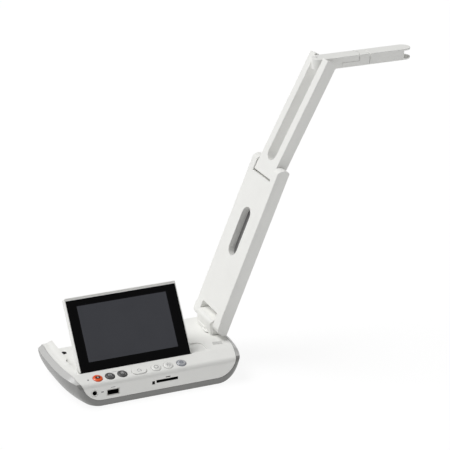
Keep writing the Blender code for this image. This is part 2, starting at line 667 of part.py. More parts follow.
def camera_head(hinge):
    """Camera head: hollow housing with a pronged tip, cover, camera, lamp and windows."""
    wide, tall = HEAD_HALF_WIDTH, HEAD_HALF_HEIGHT
    outline = [(HEAD_START, wide), (HEAD_START, -wide)]
    reach = HEAD_TIP - TIP_START
    for i in range(13):
        angle = math.radians(-90 + 15 * i)
        outline.append((TIP_START + reach * math.cos(angle), wide * math.sin(angle)))
    shell = prism("camera_head_shell", outline, "Z", -tall, tall, WHITE, hinge)
    cut(
        shell,
        box("tip_gap", (HEAD_WEB, -12, -tall + PLATE), (120, 12, tall - PLATE), parent=hinge),
        box("head_hollow", (67.0, -7.7, -10), (99, 7.7, 4.8), parent=hinge),
        box("head_cover_seat", (66.4, -8.3, -10), (99.6, 8.3, -4.9), parent=hinge),
        rod("head_roll_way", (50, 0, 0), (65.3, 0, 0), 3.3, parent=hinge, sides=20),
    )
    cover = box("camera_head_cover", (66.7, -8.0, -tall), (99.3, 8.0, -5.2), WHITE, hinge)
    cut(
        cover,
        rod("lens_way", (LENS_X, 0, -9), (LENS_X, 0, 0), 4.3, parent=hinge, sides=24),
        box("lamp_way", (LAMP_X - 4.3, -2.8, -9), (LAMP_X + 4.3, 2.8, 0), parent=hinge),
    )
    rod("lens_window", (LENS_X, 0, -6.4), (LENS_X, 0, -5.4), 4.0, LENS, hinge, 24)
    box("lamp_window", (LAMP_X - 4, -2.5, -6.4), (LAMP_X + 4, 2.5, -5.4), LAMP, hinge)
    rod("camera_barrel", (LENS_X, 0, -4.8), (LENS_X, 0, 1.6), 5.0, DARK, hinge, 24)
    box("camera_board", (68, -6.8, 2.0), (98, 6.8, 3.4), BOARD, hinge)


STRIP = pivot("strip_plane", (0, BUTTON_LINE, strip_height(BUTTON_LINE)), (STRIP_SLOPE, 0, 0))
MIC = pivot("mic_plane", (85.4, -19.9, TOP), (0, 0, math.radians(-12)))
lower_shell()
top_case()
base_inside()
buttons()
screen()
arm_base_block()
head(upper_arm(lower_arm()))
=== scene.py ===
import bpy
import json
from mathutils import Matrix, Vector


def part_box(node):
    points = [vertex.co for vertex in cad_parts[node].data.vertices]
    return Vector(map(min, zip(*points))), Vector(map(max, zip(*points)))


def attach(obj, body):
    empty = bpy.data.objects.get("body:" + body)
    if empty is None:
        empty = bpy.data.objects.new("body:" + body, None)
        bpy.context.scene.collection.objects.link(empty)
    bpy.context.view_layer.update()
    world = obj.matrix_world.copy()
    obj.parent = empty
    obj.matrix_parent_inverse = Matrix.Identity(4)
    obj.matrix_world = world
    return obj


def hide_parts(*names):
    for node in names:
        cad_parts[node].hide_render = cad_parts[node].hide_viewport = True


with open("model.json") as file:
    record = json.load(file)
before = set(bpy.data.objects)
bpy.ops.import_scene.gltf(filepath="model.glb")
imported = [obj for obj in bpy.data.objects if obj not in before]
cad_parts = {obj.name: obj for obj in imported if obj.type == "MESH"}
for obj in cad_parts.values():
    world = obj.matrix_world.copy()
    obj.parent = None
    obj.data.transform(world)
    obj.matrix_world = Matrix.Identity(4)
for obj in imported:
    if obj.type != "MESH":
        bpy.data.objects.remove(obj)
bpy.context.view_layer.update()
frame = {"nodes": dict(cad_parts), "record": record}

import json
import math

import bmesh
import bpy
from mathutils import Matrix, Vector

# Sizes are in millimetres, in the frame's own axes, and scaled to metres by MM.
MM = 0.001


def corners(node):
    """A CAD node's lowest and highest corners in millimetres."""
    low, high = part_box(node)
    return low / MM, high / MM


def joint_place(name):
    for joint in frame["record"]["behaviour"]["joints"]:
        if joint["name"] == name:
            return Vector(joint["pos_m"]) / MM


# ---------------------------------------------------------------- driving sizes
CASE_LOW, CASE_HIGH = corners("top_case")
FRONT, BACK = CASE_LOW.y, CASE_HIGH.y
CASE_BOTTOM = CASE_LOW.z
TOP = 33.0                                  # flat top of the case
CASE_REACH = CASE_HIGH.x
SHELL_REACH = corners("lower_shell")[1].x
SHELL_BOTTOM = corners("lower_shell")[0].z - 0.9
WIDEST_Y = 15.25
STRIP_BACK = -35.35
STRIP_SLOPE = math.radians(14.8)
BUTTON_LINE = -47.0
EDGE_RADIUS = 4.5
SHELL_TURN = 5.0                            # the shell turns its front corners with this radius
WELL_LEFT, WELL_RIGHT, WELL_FLOOR = -89.1, 48.2, 23.8
SCREEN_LEAN = math.radians(55.3)
PIVOT = joint_place("base_arm")
ELBOW = joint_place("elbow")
HEAD = joint_place("head_hinge")
ARM_SPAN = ELBOW - PIVOT
UPPER_SPAN = HEAD - ELBOW
LOWER_LEAN = math.atan2(ARM_SPAN.x, ARM_SPAN.z)
UPPER_LEAN = math.atan2(UPPER_SPAN.x, UPPER_SPAN.z)
LOWER_LENGTH = ARM_SPAN.length
UPPER_LENGTH = UPPER_SPAN.length
CASE_CORNER = 23.5                          # the case's ends draw in this far on their way down
SHELL_CORNER = 22.0                         # and the shell's ends this far
RIDGE_DROP = 4.5                            # the grey rim slopes to a ridge this far below TOP
RIM_INSET, RIM_FLAT = 1.0, 1.6              # where the rim starts inside the case, and its flat
RAMP_START, CREST = -12.0, 36.0             # the ramp left of the well: where it starts, how high
BUTTON_RADIUS = 5.5
BUTTON_RISE = 1.5
FLANGE_RADIUS = 6.5
JACK_X, JACK_Z = -79, 17
INLET_X, INLET_Z = 30, 15
BUMPER_X, BUMPER_Y = -79.7, 42.4
SCREW_PLACES = [(x, y) for x in (-74, 74) for y in (-24, 30)]
GAP = 0.3
SEAM = 0.35                                  # between the case and the rim at each end


def frame_at(origin, lean=0.0, axis="Y"):
    return Matrix.Translation(Vector(origin)) @ Matrix.Rotation(lean, 4, axis)


WORLD = Matrix.Identity(4)
LOWER = frame_at(PIVOT, LOWER_LEAN)
UPPER = frame_at(ELBOW, UPPER_LEAN)
TIP = frame_at(HEAD)
SCREEN = frame_at(joint_place("lcd_tilt"), SCREEN_LEAN, "X")


def strip_height(y):
    return TOP - max(STRIP_BACK - y, 0.0) * math.tan(STRIP_SLOPE)


STRIP = frame_at((0, BUTTON_LINE, strip_height(BUTTON_LINE)), STRIP_SLOPE, "X")
MIC = frame_at((85.4, -19.9, TOP), math.radians(-12), "Z")
FRONT_WALL = frame_at((0, FRONT, 0), math.radians(90), "X")     # local y is up, local z to the front


# ---------------------------------------------------------------- materials
def plastic(name, colour, roughness, grain=2600.0, bump=0.06, shift=0.03, coat=0.0, metallic=0.0,
            shine=0.5):
    """Moulded plastic: a faint cloudiness in colour and gloss, and a fine moulded grain."""
    material = bpy.data.materials.new(name)
    material.use_nodes = True
    tree = material.node_tree
    shader = tree.nodes["Principled BSDF"]
    place = tree.nodes.new("ShaderNodeTexCoord")
    cloud = tree.nodes.new("ShaderNodeTexNoise")
    cloud.inputs["Scale"].default_value = 45.0
    cloud.inputs["Detail"].default_value = 3.0
    tree.links.new(place.outputs["Object"], cloud.inputs["Vector"])
    tint = tree.nodes.new("ShaderNodeMix")
    tint.data_type = "RGBA"
    tint.inputs["A"].default_value = (*[c * (1 - shift) for c in colour], 1)
    tint.inputs["B"].default_value = (*[min(c * (1 + shift), 1) for c in colour], 1)
    tree.links.new(cloud.outputs["Fac"], tint.inputs["Factor"])
    tree.links.new(tint.outputs["Result"], shader.inputs["Base Color"])
    gloss = tree.nodes.new("ShaderNodeMapRange")
    gloss.inputs["To Min"].default_value = roughness * 0.88
    gloss.inputs["To Max"].default_value = roughness * 1.12
    tree.links.new(cloud.outputs["Fac"], gloss.inputs["Value"])
    tree.links.new(gloss.outputs["Result"], shader.inputs["Roughness"])
    fine = tree.nodes.new("ShaderNodeTexNoise")
    fine.inputs["Scale"].default_value = grain
    fine.inputs["Detail"].default_value = 2.0
    tree.links.new(place.outputs["Object"], fine.inputs["Vector"])
    relief = tree.nodes.new("ShaderNodeBump")
    relief.inputs["Strength"].default_value = bump
    relief.inputs["Distance"].default_value = 0.0001
    tree.links.new(fine.outputs["Fac"], relief.inputs["Height"])
    tree.links.new(relief.outputs["Normal"], shader.inputs["Normal"])
    shader.inputs["Metallic"].default_value = metallic
    shader.inputs["Coat Weight"].default_value = coat
    shader.inputs["Coat Roughness"].default_value = 0.08
    shader.inputs["Specular IOR Level"].default_value = shine
    return material


WHITE = plastic("white_plastic", (0.85, 0.85, 0.825), 0.42, shine=0.35)
GREY = plastic("grey_plastic", (0.235, 0.235, 0.228), 0.36, bump=0.1, coat=0.1)
# A lighter copy of the shell's grey for the rim's upward faces: painted light where they face the
# light from above, not a second plastic.
LIT_RIM_GREY = plastic("rim_grey_painted_light", (0.53, 0.53, 0.52), 0.34, bump=0.08, coat=0.1)
DARK = plastic("dark_plastic", (0.035, 0.035, 0.035), 0.45)
LINER = plastic("recess_liner_plastic", (0.16, 0.16, 0.16), 0.5)
KEY = plastic("dark_key_plastic", (0.085, 0.085, 0.085), 0.35, shine=0.3)
ORANGE = plastic("orange_key_plastic", (0.86, 0.10, 0.012), 0.28, coat=0.35)
POWER = plastic("power_key_plastic", (0.30, 0.315, 0.35), 0.3, coat=0.3)
PRINT_GREY = plastic("grey_print", (0.16, 0.16, 0.17), 0.5, shine=0.2)
PRINT_DARK = plastic("dark_print", (0.03, 0.02, 0.02), 0.5)
PALE = plastic("pale_print", (0.62, 0.62, 0.62), 0.5)
GRILLE = plastic("grille_cloth", (0.68, 0.68, 0.66), 0.7, grain=1500.0, bump=0.6)
GLASS = plastic("screen_glass", (0.005, 0.005, 0.0053), 0.07, bump=0.0, shine=0.05)
PANEL = plastic("display_panel", (0.072, 0.074, 0.084), 0.16, bump=0.0, shift=0.06, shine=0.05)
LENS = plastic("lens_glass", (0.004, 0.004, 0.008), 0.05, bump=0.0, coat=0.6)
LAMP = plastic("lamp_window", (0.80, 0.80, 0.72), 0.2, coat=0.4)
RUBBER = plastic("black_rubber", (0.010, 0.010, 0.010), 0.6, grain=900.0, bump=0.3, shine=0.15)
STEEL = plastic("plated_steel", (0.62, 0.61, 0.58), 0.28, grain=1800.0, bump=0.15, metallic=1.0)
BOARD = plastic("circuit_board", (0.02, 0.13, 0.05), 0.45)


# ---------------------------------------------------------------- mesh tools
def to_object(name, bm, place):
    """A new object from a bmesh drawn in millimetres in the local frame place."""
    bmesh.ops.recalc_face_normals(bm, faces=bm.faces)
    bm.transform(Matrix.Scale(MM, 4) @ place)
    mesh = bpy.data.meshes.new(name)
    bm.to_mesh(mesh)
    bm.free()
    obj = bpy.data.objects.new(name, mesh)
    bpy.context.scene.collection.objects.link(obj)
    return obj


def box(name, low, high, place=WORLD, bevel=0.0):
    low, high = Vector(low), Vector(high)
    bm = bmesh.new()
    bmesh.ops.create_cube(bm, size=1.0)
    fit = Matrix.Translation((low + high) / 2) @ Matrix.Diagonal((*(high - low), 1.0))
    bmesh.ops.transform(bm, matrix=fit, verts=bm.verts)
    if bevel:
        bmesh.ops.bevel(
            bm, geom=bm.edges[:], offset=bevel, segments=3, profile=0.5, affect="EDGES",
        )
    return to_object(name, bm, place)


def rod(name, start, end, radius, place=WORLD, sides=48):
    start, end = Vector(start), Vector(end)
    along = end - start
    bm = bmesh.new()
    bmesh.ops.create_cone(
        bm, cap_ends=True, segments=sides, radius1=radius, radius2=radius, depth=along.length,
    )
    turn = along.to_track_quat("Z", "Y").to_matrix().to_4x4()
    bmesh.ops.transform(bm, matrix=Matrix.Translation((start + end) / 2) @ turn, verts=bm.verts)
    return to_object(name, bm, place)


def prism(name, outline, axis, low, high, place=WORLD):
    """A flat outline drawn out along an axis."""
    spread = {
        "X": lambda u, v, w: (w, u, v),
        "Y": lambda u, v, w: (u, w, v),
        "Z": lambda u, v, w: (u, v, w),
    }[axis]
    bm = bmesh.new()
    face = bm.faces.new([bm.verts.new(spread(u, v, low)) for u, v in outline])
    made = bmesh.ops.extrude_face_region(bm, geom=[face])["geom"]
    raised = [item for item in made if isinstance(item, bmesh.types.BMVert)]
    bmesh.ops.translate(bm, verts=raised, vec=spread(0, 0, high - low))
    return to_object(name, bm, place)


def turned(name, profile, place=WORLD, steps=64):
    """A solid of revolution about local Z from (radius, height) pairs."""
    bm = bmesh.new()
    verts = [bm.verts.new((r, 0, z)) for r, z in profile]
    edges = [bm.edges.new(pair) for pair in zip(verts, verts[1:])]
    bmesh.ops.spin(
        bm, geom=verts + edges, axis=(0, 0, 1), cent=(0, 0, 0), angle=math.tau, steps=steps,
        use_merge=True,
    )
    bmesh.ops.remove_doubles(bm, verts=bm.verts, dist=0.005)
    return to_object(name, bm, place)


def arc(centre, radius, first, last, count=16):
    points = []
    for i in range(count + 1):
        angle = math.radians(first + (last - first) * i / count)
        points.append((centre[0] + radius * math.cos(angle), centre[1] + radius * math.sin(angle)))
    return points


def obround(centre, half, radius, upright=False, count=16):
    """Two half circles joined by straight sides, or a circle."""
    cu, cv = centre
    points = arc((half, 0), radius, -90, 90, count) + arc((-half, 0), radius, 90, 270, count)
    if not half:
        points = arc((0, 0), radius, 0, 360, 2 * count)[:-1]
    if upright:
        return [(cu - v, cv + u) for u, v in points]
    return [(cu + u, cv + v) for u, v in points]


def rounded(low, high, radius, count=6):
    """A rectangle with round corners."""
    (x0, y0), (x1, y1) = low, high
    points = []
    for cx, cy, first in ((x1 - radius, y0 + radius, -90), (x1 - radius, y1 - radius, 0),
                          (x0 + radius, y1 - radius, 90), (x0 + radius, y0 + radius, 180)):
        points += arc((cx, cy), radius, first, first + 90, count)
    return points


def settle(obj):
    """Applies the object's modifiers."""
    graph = bpy.context.evaluated_depsgraph_get()
    mesh = bpy.data.meshes.new_from_object(obj.evaluated_get(graph))
    obj.modifiers.clear()
    old = obj.data
    obj.data = mesh
    bpy.data.meshes.remove(old)


def combine(obj, others, operation):
    for other in others:
        modifier = obj.modifiers.new(other.name, "BOOLEAN")
        modifier.operation = operation
        modifier.solver = "EXACT"
        modifier.object = other
    settle(obj)
    for other in others:
        mesh = other.data
        bpy.data.objects.remove(other)
        bpy.data.meshes.remove(mesh)


def cut(obj, *others):
    combine(obj, others, "DIFFERENCE")


def join(obj, *others):
    combine(obj, others, "UNION")


def soften(obj, width, segments=3, angle=34.0):
    """Rounds every edge sharper than angle."""
    bm = bmesh.new()
    bm.from_mesh(obj.data)
    bmesh.ops.dissolve_limit(
        bm, angle_limit=math.radians(0.4), verts=bm.verts, edges=bm.edges, delimit={"MATERIAL"},
    )
    bmesh.ops.remove_doubles(bm, verts=bm.verts, dist=0.02 * MM)
    bm.to_mesh(obj.data)
    bm.free()
    modifier = obj.modifiers.new("edges", "BEVEL")
    modifier.width = width * MM
    modifier.segments = segments
    modifier.limit_method = "ANGLE"
    modifier.angle_limit = math.radians(angle)
    modifier.use_clamp_overlap = True
    modifier.miter_outer = "MITER_ARC"
    settle(obj)


def piece(obj, material, body, *nodes, angle=30.0):
    """Shades a finished piece, gives it its material, ties it to its body and hides the CAD nodes it
    stands for.
    """
    mesh = obj.data
    if material:
        mesh.materials.clear()
        mesh.materials.append(material)
    mesh.shade_smooth()
    mesh.set_sharp_from_angle(angle=math.radians(angle))
    modifier = obj.modifiers.new("normals", "WEIGHTED_NORMAL")
    modifier.keep_sharp = True
    settle(obj)
    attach(obj, body)
    if nodes:
        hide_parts(*nodes)
    return obj


# ---------------------------------------------------------------- base
def bulge(y, widest, taper, power):
    """Half the width of the base at y: the ends bulge, and draw in to front and back."""
    return widest - taper * (abs(y - WIDEST_Y) / (WIDEST_Y - FRONT)) ** power


def case_reach(y):
    return bulge(y, CASE_REACH, 8.9, 2.2)


def shell_reach(y):
    return bulge(y, SHELL_REACH, 10.4, 2.8)


def seat_reach(y):
    """Half the width of the shell's seat for the case."""
    return case_reach(min(max(y, FRONT), BACK)) + SEAM


def top_height(y):
    """The case's top: flat, then the sloping strip, then its rounded front edge."""
    past = min(max(FRONT + EDGE_RADIUS - y, 0.0), EDGE_RADIUS)
    return strip_height(y) - EDGE_RADIUS + math.sqrt(EDGE_RADIUS ** 2 - past ** 2)


def end_section(reach, corner, bottom, top, steps=18):
    """(x, z) from the top down the elliptical end to the flat underside."""
    depth = TOP - bottom
    first = math.asin(min(max((TOP - top) / depth, 0.0), 1.0))
    points = []
    for i in range(steps + 1):
        angle = first + (math.pi / 2 - first) * i / steps
        points.append((reach - corner * (1 - math.cos(angle)), TOP - depth * math.sin(angle)))
    return points


def rim_section(y, top):
    """The grey shell's end: a sloping rim from the case out to a ridge, then the curved side."""
    inner = case_reach(y) - RIM_INSET
    ridge = min(TOP - RIDGE_DROP, top - 0.4)
    side = end_section(shell_reach(y), SHELL_CORNER, SHELL_BOTTOM, ridge, 24)
    past = min(max(FRONT + SHELL_TURN - y, 0.0), SHELL_TURN)
    turn = SHELL_TURN - math.sqrt(SHELL_TURN ** 2 - past ** 2)
    side = [(x - turn * min(max((TOP - 5 - z) / 14, 0.0), 1.0), z) for x, z in side]
    return [(inner, top), (inner + RIM_FLAT, top)] + side


def loft(name, stations, section_of):
    """A solid through sections, each the same number of points, mirrored left to right."""
    bm = bmesh.new()
    rings = []
    for y in stations:
        half = section_of(y)
        points = [(x, y, z) for x, z in half] + [(-x, y, z) for x, z in reversed(half)]
        rings.append([bm.verts.new(point) for point in points])
    for near, far in zip(rings, rings[1:]):
        for i in range(len(near)):
            j = (i + 1) % len(near)
            bm.faces.new((near[i], near[j], far[j], far[i]))
    bm.faces.new(rings[0])
    bm.faces.new(rings[-1])
    return to_object(name, bm, WORLD)


def spaced(first, last, count):
    return [first + (last - first) * i / count for i in range(count + 1)]


EDGE_STATIONS = [FRONT + EDGE_RADIUS * (1 - math.cos(math.radians(t))) for t in range(0, 90, 11)]
STATIONS = EDGE_STATIONS + spaced(FRONT + EDGE_RADIUS, STRIP_BACK, 10) + spaced(-33.0, BACK, 20)
BUTTONS = (
    ("record_button", -71.9, 0.0, ORANGE),
    ("zoom_out_button", -57.3, 0.0, KEY),
    ("zoom_in_button", -42.4, 0.0, KEY),
    ("home_button", -22.4, 3.3, WHITE),
    ("focus_button", -1.9, 0.0, WHITE),
    ("brightness_button", 12.8, 0.0, WHITE),
    ("power_button", 28.9, 0.0, POWER),
)


def make_case():
    case = loft(
        "case_body", STATIONS,
        lambda y: end_section(case_reach(y), CASE_CORNER, CASE_BOTTOM, top_height(y)),
    )
    soften(case, 1.6, 4, 60)
    ramp = bmesh.new()
    rows = []
    for y in spaced(RAMP_START, BACK - 1.2, 16):
        past = y - RAMP_START
        rise = min(past / 14.0, 1.0)
        lift = (CREST - TOP) * (0.35 + 0.65 * past / (BACK + 11)) * rise * (2 - rise)
        outer = -(case_reach(y) - 3.0)
        inner = WELL_LEFT + 0.5
        rows.append([ramp.verts.new(p) for p in (
            (outer, y, TOP - 1.0), (outer, y, TOP - 0.12), (outer + 3.5, y, TOP + lift * 0.62),
            (outer + 7, y, TOP + lift * 0.95), (inner - 1.2, y, TOP + lift),
            (inner, y, TOP + lift), (inner, y, TOP - 1.0))])
    for near, far in zip(rows, rows[1:]):
        for i in range(len(near)):
            j = (i + 1) % len(near)
            ramp.faces.new((near[i], near[j], far[j], far[i]))
    ramp.faces.new(rows[0])
    ramp.faces.new(rows[-1])
    join(case, to_object("rim_ramp", ramp, WORLD))
    cutters = [
        loft("case_cavity", [FRONT + 2.2, -30.0, 0.0, 30.0, BACK - 2.2],
             lambda y: end_section(case_reach(y) - 2.2, 21.3, CASE_BOTTOM + 2.2, 21.0, 10)),
        box("case_mouth", (-68, -50, 5), (68, 50, 12)),
        box("strip_pocket", (-80, -7.4, -12), (42, 8, -2.2), STRIP),
        prism("screen_well", rounded((WELL_LEFT, STRIP_BACK), (WELL_RIGHT, 75), 1.6), "Z",
              WELL_FLOOR, 45),
        prism("finger_scoop", rounded((40.0, -34.2), (68.2, -9.75), 6.5), "Z", TOP - 1.0, 45),
        prism("rim_notch", rounded((-91.6, -11.0), (WELL_LEFT + 4, 3.25), 1.2), "Z", TOP - 1.3, 45),
        prism("mic_seat", rounded((-5.6, -3.8), (5.6, 3.8), 0.8), "Z", -1.5, 4, MIC),
        rod("led_way", (-83.3, 0, -6), (-83.3, 0, 3), 1.05, STRIP, 24),
    ]
    for name, x, half, _ in BUTTONS:
        way = obround((x, 0), half, BUTTON_RADIUS + 0.45, count=24)
        cutters.append(prism(name + "_way", way, "Z", -6, 4, STRIP))
    cutters += [
        rod("jack_way", (JACK_X, FRONT - 4, JACK_Z), (JACK_X, FRONT + 6, JACK_Z), 3.65),
        rod("jack_seat", (JACK_X, FRONT - 4, JACK_Z), (JACK_X, FRONT + 0.8, JACK_Z), 4.4),
        box("usb_way", (-64.9, FRONT - 4, 11.0), (-49.5, FRONT + 6, 18.6)),
        box("card_way", (-5.2, FRONT - 4, 15.5), (21.1, FRONT + 6, 19.0)),
        box("card_led_way", (-10.3, FRONT - 4, 14.2), (-6.9, FRONT + 6, 18.4)),
        rod("power_way", (INLET_X, BACK - 6, INLET_Z), (INLET_X, BACK + 4, INLET_Z), 3.9),
        box("hdmi_way", (0.2, BACK - 6, 12.0), (15.8, BACK + 4, 18.0)),
        box("usb_device_way", (-20.3, BACK - 6, 10.7), (-7.7, BACK + 4, 20.1)),
        rod("bumper_seat", (BUMPER_X, BUMPER_Y, 22.6), (BUMPER_X, BUMPER_Y, 26), 3.75),
    ]
    cut(case, *cutters)
    case.name = "white_case"
    soften(case, 0.35, 2, 40)
    piece(case, WHITE, "base", "top_case")


def make_shell():
    shell = loft("shell_body", STATIONS, lambda y: rim_section(y, top_height(y)))
    soften(shell, 0.3, 2, 60)
    seat = loft(
        "shell_seat", [FRONT - 5, *STATIONS[1:-1], BACK + 5],
        lambda y: [(seat_reach(y), TOP + 6)]
        + end_section(seat_reach(y), CASE_CORNER, CASE_BOTTOM - GAP, TOP),
    )
    cut(shell, seat, box("shell_pocket", (-69, -48, 3.5), (69, 48, 8)))
    cutters = [
        prism("foot_seat_front", obround((0, -47), 66, 5.3), "Z", -1, 2.2),
        prism("foot_seat_back", obround((0, 47), 66, 5.3), "Z", -1, 2.2),
        rod("foot_seat_middle", (0, 0, -1), (0, 0, 2.2), 8.3),
    ]
    for x, y in SCREW_PLACES:
        cutters.append(rod("screw_way", (x, y, -1), (x, y, 9), 1.6, sides=24))
        cutters.append(rod("screw_seat", (x, y, -1), (x, y, 4), 3.2, sides=32))
    for i in range(5):
        slot = obround((-62.0 + 4 * i, 18.0), 8.2, 0.8, upright=True, count=6)
        cutters.append(prism("speaker_slot", slot, "Z", 0, 5))
    cut(shell, *cutters)
    shell.name = "grey_shell"
    soften(shell, 0.25, 2, 50)
    shell.data.materials.append(GREY)
    shell.data.materials.append(LIT_RIM_GREY)
    piece(shell, None, "base", "lower_shell", angle=24)
    # Upward faces high on the shell's ends get the lighter grey: painted light on the same plastic as
    # the rest of the shell.
    for face in shell.data.polygons:
        high = face.center.z / MM > TOP - RIDGE_DROP
        if high and face.normal.z > 0.35 and abs(face.center.x) / MM > 70:
            face.material_index = 1


def decal(name, outline, height, place, material, body, thickness=0.12):
    """A thin printed or moulded mark standing just proud of a surface."""
    mark = prism(name, outline, "Z", height - 0.3, height + thickness, place)
    return piece(mark, material, body, angle=40)


def ring_mark(name, radius, width, height, place, material, body, first=0, last=360, top=0.12):
    """A thin ring or part of one."""
    whole = last - first >= 360
    outer = arc((0, 0), radius, first, last, 40)
    inner = arc((0, 0), radius - width, last, first, 40)
    if not whole:
        return decal(name, outer + inner, height, place, material, body, top)
    profile = [(radius - width, height - 0.3), (radius, height - 0.3), (radius, height + top),
               (radius - width, height + top), (radius - width, height - 0.3)]
    return piece(turned(name, profile, place), material, body, angle=40)


def bar_mark(name, start, end, width, height, place, material, body, top=0.12):
    """A straight stroke with square ends."""
    (x0, y0), (x1, y1) = start, end
    along = Vector((x1 - x0, y1 - y0)).normalized() * width / 2
    side = Vector((-along.y, along.x))
    points = [(x0 - side.x, y0 - side.y), (x1 - side.x, y1 - side.y), (x1 + side.x, y1 + side.y),
              (x0 + side.x, y0 + side.y)]
    return decal(name, points, height, place, material, body, top)


def make_buttons():
    """Domed keys, each with a plain pictogram, on their own sliding bodies."""
    rise = BUTTON_RISE
    edge = math.radians(78)
    for name, x, half, material in BUTTONS:
        place = STRIP @ Matrix.Translation((x, 0, 0))
        if half:
            key = prism(name + "_cap", obround((0, 0), half, BUTTON_RADIUS, count=24), "Z",
                        -2.9, rise - 0.45, place)
            soften(key, 0.7, 4, 60)
            flange = obround((0, 0), half, FLANGE_RADIUS, count=16)
            join(key, prism(name + "_flange", flange, "Z", -3.3, -2.5, place))
        else:
            profile = [(0, rise)]
            for i in range(1, 13):
                angle = math.radians(i * 6.5)
                reach = math.sin(angle) / math.sin(edge)
                drop = (1 - math.cos(angle)) / (1 - math.cos(edge))
                profile.append((BUTTON_RADIUS * reach, rise - 1.25 * drop))
            profile += [(BUTTON_RADIUS, -2.5), (FLANGE_RADIUS, -2.5), (FLANGE_RADIUS, -3.3), (0, -3.3)]
            key = turned(name + "_cap", profile, place, 72)
        piece(key, material, name, name, angle=50)
    mark = STRIP @ Matrix.Translation((-71.9, 0, 0))
    outline = rounded((-2.7, -1.9), (2.7, 1.9), 0.8)
    decal("record_mark", outline, rise - 0.1, mark, PRINT_DARK, "record_button", 0.16)
    profile = [(0, rise + 0.12), (0.9, rise + 0.12), (0.9, rise - 0.4), (0, rise - 0.4)]
    piece(turned("record_dot", profile, mark, 32), PALE, "record_button")
    for name, x, tall in (("zoom_out_button", -57.3, False), ("zoom_in_button", -42.4, True)):
        place = STRIP @ Matrix.Translation((x, 0.3, 0))
        ring_mark(name + "_lens", 1.9, 0.45, rise - 0.25, place, PALE, name, top=0.2)
        bar_mark(name + "_handle", (1.3, -1.3), (2.9, -2.9), 0.6, rise - 0.45, place, PALE, name, 0.2)
        bar_mark(name + "_minus", (-0.9, 0), (0.9, 0), 0.4, rise - 0.2, place, PALE, name, 0.22)
        if tall:
            bar_mark(name + "_plus", (0, -0.9), (0, 0.9), 0.4, rise - 0.2, place, PALE, name, 0.24)
    place = STRIP @ Matrix.Translation((-22.4, 0, 0))
    level = rise - 0.5
    walls = [(-2.1, -1.9), (2.1, -1.9), (2.1, 0.5), (0, 2.4), (-2.1, 0.5), (-2.1, -1.9)]
    for i, (start, end) in enumerate(zip(walls, walls[1:])):
        bar_mark(f"home_mark_{i}", start, end, 0.42, level, place, PRINT_GREY, "home_button", 0.1)
    place = STRIP @ Matrix.Translation((-1.9, 0, 0))
    ring_mark("focus_ring", 2.7, 0.5, rise - 0.28, place, PRINT_GREY, "focus_button", top=0.2)
    for i in range(4):
        turn = place @ Matrix.Rotation(math.radians(90 * i + 45), 4, "Z")
        bar_mark(f"focus_tick_{i}", (0.7, 0), (1.7, 0), 0.4, rise - 0.2, turn, PRINT_GREY,
                 "focus_button", 0.16)
    place = STRIP @ Matrix.Translation((12.8, 0, 0))
    ring_mark("sun_ring", 1.3, 0.45, rise - 0.15, place, PRINT_GREY, "brightness_button", top=0.14)
    for i in range(8):
        turn = place @ Matrix.Rotation(math.radians(45 * i), 4, "Z")
        bar_mark(f"sun_ray_{i}", (1.8, 0), (3.3, 0), 0.5, rise - 0.26, turn, PRINT_GREY,
                 "brightness_button", 0.2)
    place = STRIP @ Matrix.Translation((28.9, 0, 0))
    ring_mark("power_outer", 3.9, 0.6, rise - 0.5, place, PALE, "power_button", top=0.2)
    ring_mark("power_arc", 1.7, 0.4, rise - 0.2, place, PRINT_DARK, "power_button", 125, 415, 0.14)
    bar_mark("power_stroke", (0, 0.6), (0, 2.1), 0.4, rise - 0.2, place, PRINT_DARK,
             "power_button", 0.14)
    link = rounded((-53.4, 5.4), (-38.6, 6.3), 0.4)
    decal("zoom_link", link, 0, STRIP, PALE, "base", 0.08)


def inlet_rod(name, start, end, radius, sides=48):
    """A rod on the power inlet's axis. Start and end are measured outward from the back wall."""
    return rod(name, (INLET_X, BACK + start, INLET_Z), (INLET_X, BACK + end, INLET_Z), radius,
               sides=sides)


